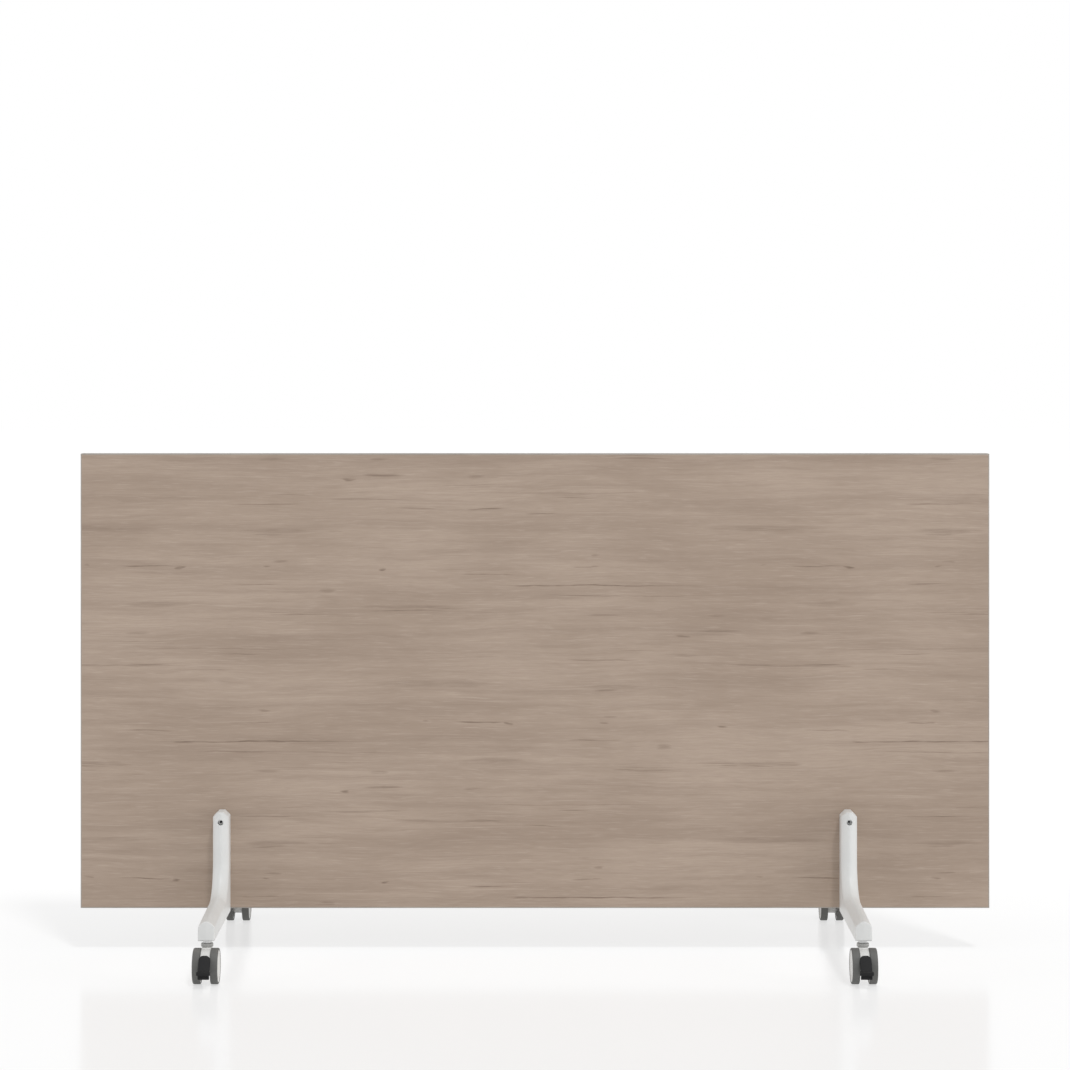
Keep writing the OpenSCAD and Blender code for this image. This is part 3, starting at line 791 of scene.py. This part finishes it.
def arm_station(shoulder, normal, back, rise, half_w, inset, back_r):
    """The points round the arm at one station, from one back corner over the crown to the other:
    the crown lies along the normal from the shoulder, the corners along the rise from the back.
    """
    half = []
    for j in range(CROSS_STEPS + 1):
        x = (half_w - 0.35) * j / CROSS_STEPS
        half.append((x, shoulder, normal, crown(x) - inset))
    half.append((half_w - 0.08, shoulder, normal, crown(half_w) - inset - 0.1))
    half.append((half_w, shoulder, normal, crown(half_w) - inset - 0.5))
    half += [(half_w - short, back, rise, inset + lift)
             for short, lift in quarter_round(back_r, 4)]
    loop = [(-x, *rest) for x, *rest in reversed(half[1:])] + half
    return [(x, start[0] + along[0] * away, start[1] + along[1] * away)
            for x, start, along, away in loop]


def upright_station(z, half_w, inset):
    return arm_station((-SHOULDER_Y, z), (-1.0, 0.0), (-PANEL_T / 2.0, z), (-1.0, 0.0),
                       half_w, inset, ARRIS)


def upright_stations():
    """Down the upright: its rounded top, the bevels beside it, and the straight part."""
    top_z, top_half_w = ARM_Z + ARM_H, ARM_HALF_W - TOP_CHAMFER
    bevel_end = top_z - TOP_CHAMFER
    rows = [(top_z - drop, top_half_w + drop - 0.4 * inset, inset)
            for drop, inset in quarter_round(ARRIS, 3)]
    rows += [(top_z - drop, top_half_w + drop, 0.0) for drop in TOP_BEVEL_DROPS]
    rows += [(bevel_end, ARM_HALF_W - 0.15, 0.0), (bevel_end - 0.8, ARM_HALF_W, 0.0)]
    rows += [(z, ARM_HALF_W, 0.0) for z in UPRIGHT_ROWS]
    return [upright_station(*row) for row in rows]


def elbow_stations():
    """Round the elbow, past the back corner between the panel's face and the underside."""
    panel_y = -PANEL_T / 2.0
    reach_y = ELBOW_Y - panel_y
    corner = math.degrees(math.atan2(ELBOW_Z - ARM_Z, -reach_y))
    stations = []
    for angle in sorted([90.0 * k / ELBOW_STEPS for k in range(ELBOW_STEPS + 1)] + [corner]):
        turn = math.radians(angle)
        out = (math.cos(turn), -math.sin(turn))
        shoulder = (ELBOW_Y + ELBOW_R * out[0], ELBOW_Z + ELBOW_R * out[1])
        if angle < corner - 1e-6:
            back = (panel_y, ELBOW_Z + reach_y * math.tan(turn))
            rise, back_r = (-1.0, 0.0), 0.8
        elif angle > corner + 1e-6:
            back = (ELBOW_Y + (ELBOW_Z - ARM_Z) / math.tan(turn), ARM_Z)
            rise, back_r = (0.0, 1.0), 1.0
        else:
            back = (panel_y, ARM_Z)
            rise, back_r = (-1.0, 1.0), 0.9
        stations.append(arm_station(
            shoulder, (-out[0], -out[1]), back, rise, ARM_HALF_W, 0.0, back_r))
    return stations


def bar_station(y, half_w, inset):
    shoulder_z = BAR_Z - BAR_SLOPE * (ELBOW_Y - y)
    ring = arm_station((y, shoulder_z), (0.0, 1.0), (y, ARM_Z), (0.0, 1.0), half_w, inset, 1.0)
    return [(x, at + prow(x, at), z) for x, at, z in ring]


def bar_stations():
    """Along the bar and round the corners of its tip."""
    stations = [bar_station(-row, ARM_HALF_W, 0.0) for row in BAR_ROWS]
    for side, ahead in quarter_round(TIP_CORNER_R, 8):
        inset = arris_inset(TIP_ARRIS, ahead)
        stations.append(bar_station(ahead - TIP_Y, ARM_HALF_W - side, inset))
    return stations


def cap_tip(points, faces, ring):
    """Closes the tip with rows from its underside up to its crown, bent along the ridge."""
    peak = len(ring) // 2
    flat_y = min(y for _, y, _ in ring)
    rows = []
    for x, y, z in ring[:peak]:
        middle = [(x * f, flat_y + prow(x * f, flat_y), z) for f in TIP_COLUMNS]
        rows.append([(x, y, z)] + middle + [(-x, y, z)])
    patches = [patch for low, high in zip(rows, rows[1:])
               for patch in zip(low, low[1:], high[1:], high)]
    patches += [(a, b, ring[peak]) for a, b in zip(rows[-1], rows[-1][1:])]
    for patch in patches:
        faces.append(tuple(range(len(points), len(points) + len(patch))))
        points += patch


def build_arm():
    """The casting swept down the upright, round the elbow and along the bar to its tip."""
    stations = upright_stations() + elbow_stations() + bar_stations()
    points, faces = skin(stations)
    faces.pop()
    cap_tip(points, faces, stations[-1])
    arm = make_object("arm_master", points, faces)
    plate_rebate = box("cutter", (-10.3, -62.8, 71.0), (10.3, 5.0, 77.0))
    screw_holes = [
        round_cutter([(2.55, 76.0), (2.55, 91.0)], (0.0, -reach, 0.0)) for reach in SCREW_REACHES]
    stem_hole = round_cutter([(6.3, 71.0), (5.55, 72.75), (5.55, 96.0)], (0.0, -STEM_Y, 0.0))
    pocket = slot_cutter(9.0, -250.5, -68.5, 71.0, 88.0)
    bolt_hole = round_cutter(
        [(4.05, 0.0), (4.05, BOLT_SEAT_Y), (RECESS_R, BOLT_SEAT_Y), (RECESS_R, 70.0)],
        (0.0, 0.0, BOLT_Z), quarter_turn("X"))
    carve(arm, [plate_rebate, *screw_holes, stem_hole, pocket, bolt_hole])
    round_edges(arm, on_recess_rim, 0.4, 2, True)
    return arm


def on_recess_rim(edge):
    """Whether an edge lies where the bolt's recess opens through the crown."""
    on_rim = len(edge.link_faces) == 2 and all(
        abs(math.hypot(v.co.x, v.co.z - BOLT_Z * MM) - RECESS_R * MM) < 2e-5
        and v.co.y < -(BOLT_SEAT_Y + 1.0) * MM
        for v in edge.verts)
    return on_rim and edge.calc_face_angle(0.0) > math.radians(40.0)


# Panel edging


def build_edge_strip(node, axis, side, material):
    """A strip of edge banding whose inner side lies on the board, its outer arrises rounded."""
    low = [-PANEL_W / 2.0, -PANEL_T / 2.0, PANEL_Z]
    high = [PANEL_W / 2.0, PANEL_T / 2.0, PANEL_Z + PANEL_H]
    if axis == 0:
        low[2] += EDGE_T
        high[2] -= EDGE_T
    if side > 0:
        inner = low[axis] = high[axis] - EDGE_T
    else:
        inner = high[axis] = low[axis] + EDGE_T
    strip = box(node + "_strip_master", low, high)

    def outer(edge):
        one, other = (v.co for v in edge.verts)
        on_inner = all(abs(spot[axis] - inner * MM) < 1e-6 for spot in (one, other))
        return not on_inner and (axis == 2 or abs(one.z - other.z) > 0.1)

    round_edges(strip, outer, 1.0, 4, False)
    finish_piece(strip, node + "_strip", Matrix.Identity(4), material, "divider", [node], 50.0)
    discard(strip)


def build_panel():
    for node, axis, side, material in (
            ("edge_top", 2, 1, "edge_band"), ("edge_bottom", 2, -1, "edge_band"),
            ("edge_left", 0, -1, "edge_band_upright"), ("edge_right", 0, 1, "edge_band_upright")):
        build_edge_strip(node, axis, side, material)


# Castor


def build_tyre():
    profile = rounded_profile([
        (HUB_R + 0.05, 0.0, 0.0), (WHEEL_R, 0.0, 1.5), (WHEEL_R, TYRE_W, 2.2),
        (HUB_R + 0.05, TYRE_W, 0.2)], 8)
    crowned = [(r - (0.22 * ((h - 5.9) / 5.9) ** 2 if r > WHEEL_R - 0.5 else 0.0), h)
               for r, h in profile]
    return lathe("tyre_master", crowned, 128)


def build_hub():
    """A moulded hub: a dished face with a centre cap outside, a hollow with ribs inside."""
    profile = [
        (0.0, 11.8), (3.0, 11.75), (5.2, 11.6), (5.7, 11.4), (5.9, 10.8), (6.6, 10.8),
        (7.0, 11.15), (12.0, 11.0), (18.0, 11.0), (21.6, 11.15), (22.2, 11.5), (22.6, 12.0),
        (23.1, 12.3), (23.8, 12.4), (26.4, 12.4), (27.0, 12.25), (27.4, 11.9), (27.5, 11.4),
        (27.5, 1.0), (27.35, 0.65), (27.0, 0.5), (24.5, 0.5), (24.15, 0.65), (24.0, 1.0),
        (24.0, 7.6), (23.7, 8.2), (23.1, 8.4), (8.0, 8.4), (7.3, 8.1), (7.0, 7.4),
        (7.0, 1.0), (6.85, 0.65), (6.5, 0.5), (3.5, 0.5), (3.15, 0.65), (AXLE_HOLE_R, 1.0),
        (AXLE_HOLE_R, 10.0), (0.0, 10.0)]
    hub = lathe("hub_master", profile, 96)
    run_tree(hub, build_rib_tree(), "white_plastic")
    return hub


def build_collar():
    return lathe("collar_master", [
        (4.05, 60.3), (9.7, 60.3), (10.15, 60.5), (10.3, 60.9), (10.3, 62.3), (10.1, 62.5),
        (10.1, 62.8), (10.3, 63.0), (10.3, 65.0), (10.15, 65.5), (9.7, 65.85), (9.0, 66.0),
        (4.05, 66.0)], 96)


def build_stem():
    return lathe("stem_master", [
        (0.0, 46.3), (3.4, 46.3), (4.0, 46.9), (4.0, 66.3), (6.9, 66.3), (7.35, 66.5),
        (7.5, 66.9), (7.5, 71.2), (7.3, 71.7), (6.8, 72.0), (5.5, 72.0), (5.5, 94.0),
        (4.6, 95.0), (0.0, 95.0)], 64)


def build_housing():
    """The body between the wheels, with a slot for the pedal's web."""
    roof_r, nose_r, back, top = 28.5, 16.0, -24.0, 30.3
    web_ahead, web_top, slot_r = 6.5, 17.5, 26.0
    outline = arc((0.0, 0.0), roof_r, 0.0, 86.0, 30)
    outline += [(1.2, 28.9), (0.8, 29.9), (0.3, top)]
    outline += [(back + 1.5, top), (back + 0.4, top - 0.4), (back, top - 1.5), (back, 1.0),
                (back + 0.3, 0.3), (back + 1.0, 0.0), (-nose_r - 0.8, 0.0)]
    outline += arc((0.0, 0.0), nose_r, 182.0, 358.0, 32)
    outline += [(nose_r + 0.8, 0.0), (roof_r - 0.9, 0.0), (roof_r - 0.2, 0.15)]
    body = prism("housing_master", outline, 8.0, 0.9)
    slot = [(web_ahead, 2.0), (60.0, 2.0), (60.0, web_top)]
    slot += arc((0.0, 0.0), slot_r, math.degrees(math.asin(web_top / slot_r)),
                math.degrees(math.acos(web_ahead / slot_r)), 16)
    journal_hole = round_cutter([(JOURNAL_HOLE_R, 45.3), (JOURNAL_HOLE_R, 80.0)], (0.0, 0.0, 0.0))
    carve(body, [prism("cutter", slot, 3.0), side_hole(AXLE_HOLE_R),
                 side_hole(PIN_HOLE_R, PIN_OFFSET), journal_hole])
    return body


def build_tongue():
    """The pedal's crowned tongue, falling from its rounded heel to its lip."""
    half_w, corner_r, thick, start = 9.5, 7.5, 6.5, -1.0
    root_turn, root_r = math.radians(39.0), HEEL_R + 2.4
    root = Vector((root_r * math.cos(root_turn), root_r * math.sin(root_turn)))
    fall = Vector((47.0, 0.0)) - root
    along = fall.normalized()
    under = Vector((along.y, -along.x))
    stations = [(start + t, half_w - w) for t, w in quarter_round(corner_r, 10)]
    straight = fall.length - start - corner_r
    stations += [(start + corner_r + straight * t, half_w) for t in (0.3, 0.5, 0.7, 0.85, 1.0)]
    rings = []
    for t, w in stations:
        top = root + along * t
        inset = arris_inset(ARRIS, t - start)
        span = thick
        while span > 1.0 and (top + under * span).length < HEEL_R + 0.1:
            span -= 0.05
        low = top + under * span
        depth = (low - top).length
        ring = []
        for x, d in rounded_profile([
                (-w, 0.0, ARRIS), (w, 0.0, ARRIS), (w, depth, 0.6), (-w, depth, 0.6)], 3):
            lift = 0.35 * (1.0 - (x / half_w) ** 2) if d < 1.0 else 0.0
            spot = top + under * min(max(d - lift, inset - lift), depth - inset)
            ring.append((x, -TRAIL - spot.x, WHEEL_R + spot.y))
        rings.append(ring)
    return make_object("tongue", *skin(rings))


def build_web():
    """The pedal's web inside the housing, from the boss round its pin to its heel."""
    boss_r, end_r, web_turn = 4.5, 3.0, math.radians(25.0)
    pin = Vector((PIN_OFFSET, PIN_OFFSET))
    far = Vector((HEEL_R * math.cos(web_turn), HEEL_R * math.sin(web_turn)))
    lean = math.degrees(math.atan2((far - pin).y, (far - pin).x))
    spread = math.degrees(math.acos((boss_r - end_r) / (far - pin).length))
    outline = arc(tuple(pin), boss_r, lean + spread, lean + 360.0 - spread, 20)
    outline += arc(tuple(far), end_r, lean - spread, lean + spread, 12)
    web = prism("web", outline, 2.5, 0.4)
    carve(web, [side_hole(PIN_HOLE_R, PIN_OFFSET)])
    return web


def build_pedal():
    """The brake pedal: its tongue, the lip's ledge and lower block, and its web."""
    tongue = build_tongue()
    ledge = prism("ledge", rounded_profile([
        (45.5, 0.0, 0.5), (51.9, -0.6, 0.9), (51.9, -5.8, 0.7), (45.5, -5.8, 0.5)], 3), 11.4, 0.7)
    block = prism("block", rounded_profile([
        (43.2, -1.2, 0.3), (47.9, -1.2, 0.3), (47.9, -8.4, 0.2), (47.5, -8.7, 0.2),
        (47.9, -9.0, 0.2), (47.9, -13.4, 1.2), (43.2, -13.4, 0.8)], 3), 9.5, 0.7)
    return join("pedal_master", [tongue, ledge, block, build_web()])


def build_castors():
    tyre, hub, collar = build_tyre(), build_hub(), build_collar()
    stem, housing, pedal = build_stem(), build_housing(), build_pedal()
    for foot, side in FEET:
        for end_name, end in ENDS:
            name = f"{end_name}_{foot}"
            place = castor_place(side, end)
            pieces = [
                (stem, "_stem_pin", place, "zinc_steel", "divider", "_stem"),
                (collar, "_collar_ring", place, "grey_plastic", name + "_swivel",
                 "_swivel_collar"),
                (housing, "_housing_body", place, "white_plastic", name + "_swivel", "_housing"),
                (pedal, "_pedal_lever", place, "black_plastic", name + "_pedal", "_brake_pedal")]
            for wheel, direction in (("_outer", -side * end), ("_inner", side * end)):
                spot, body = place @ wheel_place(direction), name + wheel + "_wheel"
                pieces += [(tyre, wheel + "_tread", spot, "grey_tyre", body, wheel + "_tyre"),
                           (hub, wheel + "_disc", spot, "white_plastic", body, wheel + "_hub")]
            for source, piece, matrix, material, body, node in pieces:
                finish_piece(source, name + piece, matrix, material, body, [name + node])
    discard(tyre, hub, collar, stem, housing, pedal)


# Feet and fasteners


def build_bolt_head(name, shank_end, shank_r, bore_r=None, bore_depth=0.0):
    """A socket head with a chamfered rim and a hex socket, its seat at zero, facing +Z."""
    profile = [
        (0.0, shank_end), (shank_r - 0.5, shank_end), (shank_r, shank_end + 0.5), (shank_r, 0.0),
        (4.3, 0.0), (4.5, 0.2), (4.5, 4.4), (4.38, 4.8), (4.0, BOLT_HEAD_H), (0.0, BOLT_HEAD_H)]
    if bore_r:
        bore_end = shank_end + bore_depth
        profile[:1] = [(0.0, bore_end), (bore_r, bore_end), (bore_r, shank_end)]
    head = lathe(name, profile, 48)
    carve(head, [hex_cutter(5.0, 2.0, 6.0, 0.45, BOLT_HEAD_H)])
    return head


def build_plate_screws():
    """The countersunk screws under the tie plates, heads down."""
    screw = lathe("plate_screws_master", [
        (0.0, 72.0), (4.55, 72.0), (4.75, 72.15), (4.7, 72.35), (2.5, 74.3), (2.5, 89.2),
        (1.7, 90.0), (0.0, 90.0)], 32)
    carve(screw, [hex_cutter(3.0, 74.0, 71.0, 0.3, 72.0)])
    run_tree(screw, build_screw_tree(), "dark_steel")
    finish_piece(screw, "plate_screw_rows", Matrix.Identity(4), "dark_steel", "divider",
                 ["left_plate_screws", "right_plate_screws"])
    discard(screw)


def build_feet():
    arm = build_arm()
    bolt = build_bolt_head("bolt_master", -54.0, 3.0)
    nut = build_bolt_head("nut_master", -44.0, 4.0, 3.05, 27.0)
    for foot, side in FEET:
        for end_name, end in ENDS:
            node = f"{end_name}_{foot}_arm"
            finish_piece(
                arm, node + "_casting", arm_place(side, end), "white_paint", "divider", [node])
        for source, ending, end in ((bolt, "_panel_bolt", -1), (nut, "_sleeve_nut", 1)):
            seat = shift(side * FOOT_X, end * BOLT_SEAT_Y, BOLT_Z) @ quarter_turn("X", -end)
            finish_piece(source, foot + ending + "_socket_head", seat, "bright_zinc", "divider",
                         [foot + ending])
    discard(arm, bolt, nut)


# Nodes that keep their own mesh, and nodes under the pieces, by the ends of their names
NODE_LOOKS = {
    "wood_laminate": ("_laminate",),
    "chipboard": ("panel_core",),
    "edge_band": ("edge_top", "edge_bottom"),
    "edge_band_upright": ("edge_left", "edge_right"),
    "white_paint": ("_arm",),
    "white_plastic": ("_hub", "_housing"),
    "grey_plastic": ("_swivel_collar",),
    "grey_tyre": ("_tyre",),
    "black_plastic": ("_brake_pedal",),
    "zinc_steel": ("_axle", "_pedal_pin", "_tie_plate", "_stem"),
    "dark_steel": ("_plate_screws", "_panel_bolt", "_sleeve_nut"),
}


def dress_nodes():
    for node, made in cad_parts.items():
        for material, endings in NODE_LOOKS.items():
            if not node.endswith(endings):
                continue
            slots = made.data.materials
            if not slots:
                slots.append(MATERIALS[material])
            for index in range(len(slots)):
                slots[index] = MATERIALS[material]


# Stage, lights and camera

FLOOR_HALF = 30.0
FLOOR_DIFFUSE = (0.3, 0.3, 0.3, 1.0)
FLOOR_GLOSS = (0.13, 0.13, 0.13, 1.0)
FLOOR_BOUNCE = (0.55, 0.55, 0.55, 1.0)
FLOOR_LIFT = 0.42
AMBIENT = 0.475
SUN_TOWARD = (0.25, -0.54, 1.0)
SUN_ENERGY = 0.95
SUN_ANGLE = 8.0
# Name, place, width, height and power in watts of each soft light, and the point they face
SOFTBOXES = (
    ("right_softbox", (8.0, -2.2, 1.8), 4.0, 3.0, 190.0),
    ("left_softbox", (-8.0, -2.2, 1.8), 4.0, 3.0, 120.0),
    ("top_softbox", (0.0, -0.8, 3.0), 4.0, 2.0, 10.0),
)
SOFTBOX_AIM = (0.0, 0.0, 0.2)
CAMERA_PLACE = (0.0, -5.324, 1.0823)
CAMERA_LENS = 101.507
CAMERA_SHIFT = -0.185


def build_floor():
    """A pale floor that glows white to the camera and keeps the object's shadow and reflection."""
    mesh = bpy.data.meshes.new("floor")
    mesh.from_pydata([(x * FLOOR_HALF, y * FLOOR_HALF, 0.0)
                      for x, y in ((-1, -1), (1, -1), (1, 1), (-1, 1))], [], [(0, 1, 2, 3)])
    floor = add_object("floor", mesh)
    material = bpy.data.materials.new("studio_floor")
    g = empty_graph(material)
    away = g.separate(g.place())["Y"]
    near_glow = g.remap(away, -0.1, 0.5, 0.587, 0.615)
    far_glow = g.remap(away, 0.4, 1.3, 0.0, 0.06)
    glow = g.result("ShaderNodeEmission", {
        "Color": WHITE, "Strength": g.math("ADD", near_glow, far_glow)})
    diffuse = g.result("ShaderNodeBsdfDiffuse", {"Color": FLOOR_DIFFUSE})
    gloss = g.result("ShaderNodeBsdfGlossy", {"Color": FLOOR_GLOSS, "Roughness": 0.15})
    lit = g.result("ShaderNodeAddShader", {0: diffuse, 1: gloss})
    seen = g.result("ShaderNodeAddShader", {0: lit, 1: glow})
    pale = g.result("ShaderNodeBsdfDiffuse", {"Color": FLOOR_BOUNCE})
    lift = g.result("ShaderNodeEmission", {"Color": WHITE, "Strength": FLOOR_LIFT})
    plain = g.result("ShaderNodeAddShader", {0: pale, 1: lift})
    choice = g.result("ShaderNodeMixShader", {0: g.straight_rays(), 1: plain, 2: seen})
    g.node("ShaderNodeOutputMaterial", {"Surface": choice})
    mesh.materials.append(material)


def build_world():
    """White to straight rays, and a weaker even light for everything else."""
    world = bpy.data.worlds.new("studio")
    bpy.context.scene.world = world
    g = empty_graph(world)
    strength = g.times(g.straight_rays(), 1.0 - AMBIENT, AMBIENT)
    light = g.result("ShaderNodeBackground", {"Color": WHITE, "Strength": strength})
    g.node("ShaderNodeOutputWorld", {"Surface": light})


def build_lights():
    light = bpy.data.lights.new("key", "SUN")
    light.energy = SUN_ENERGY
    light.angle = math.radians(SUN_ANGLE)
    key = add_object("key", light)
    key.rotation_euler = Vector(SUN_TOWARD).to_track_quat("Z", "Y").to_euler()
    for name, place, wide, high, power in SOFTBOXES:
        soft = bpy.data.lights.new(name, "AREA")
        soft.shape = "RECTANGLE"
        soft.size = wide
        soft.size_y = high
        soft.energy = power
        lamp = add_object(name, soft)
        lamp.location = place
        aim = Vector(SOFTBOX_AIM) - Vector(place)
        lamp.rotation_euler = aim.to_track_quat("-Z", "Y").to_euler()
        lamp.visible_camera = False
        lamp.visible_glossy = False


def build_camera():
    view = bpy.data.cameras.new("view")
    view.sensor_width = 36.0
    view.lens = CAMERA_LENS
    view.shift_y = CAMERA_SHIFT
    view.clip_end = 100.0
    camera = add_object("view", view)
    camera.location = CAMERA_PLACE
    camera.rotation_euler = (math.radians(90.0), 0.0, 0.0)
    bpy.context.scene.camera = camera


build_panel()
build_feet()
build_plate_screws()
build_castors()
dress_nodes()
build_floor()
build_world()
build_lights()
build_camera()
bpy.context.scene.view_settings.view_transform = "Standard"
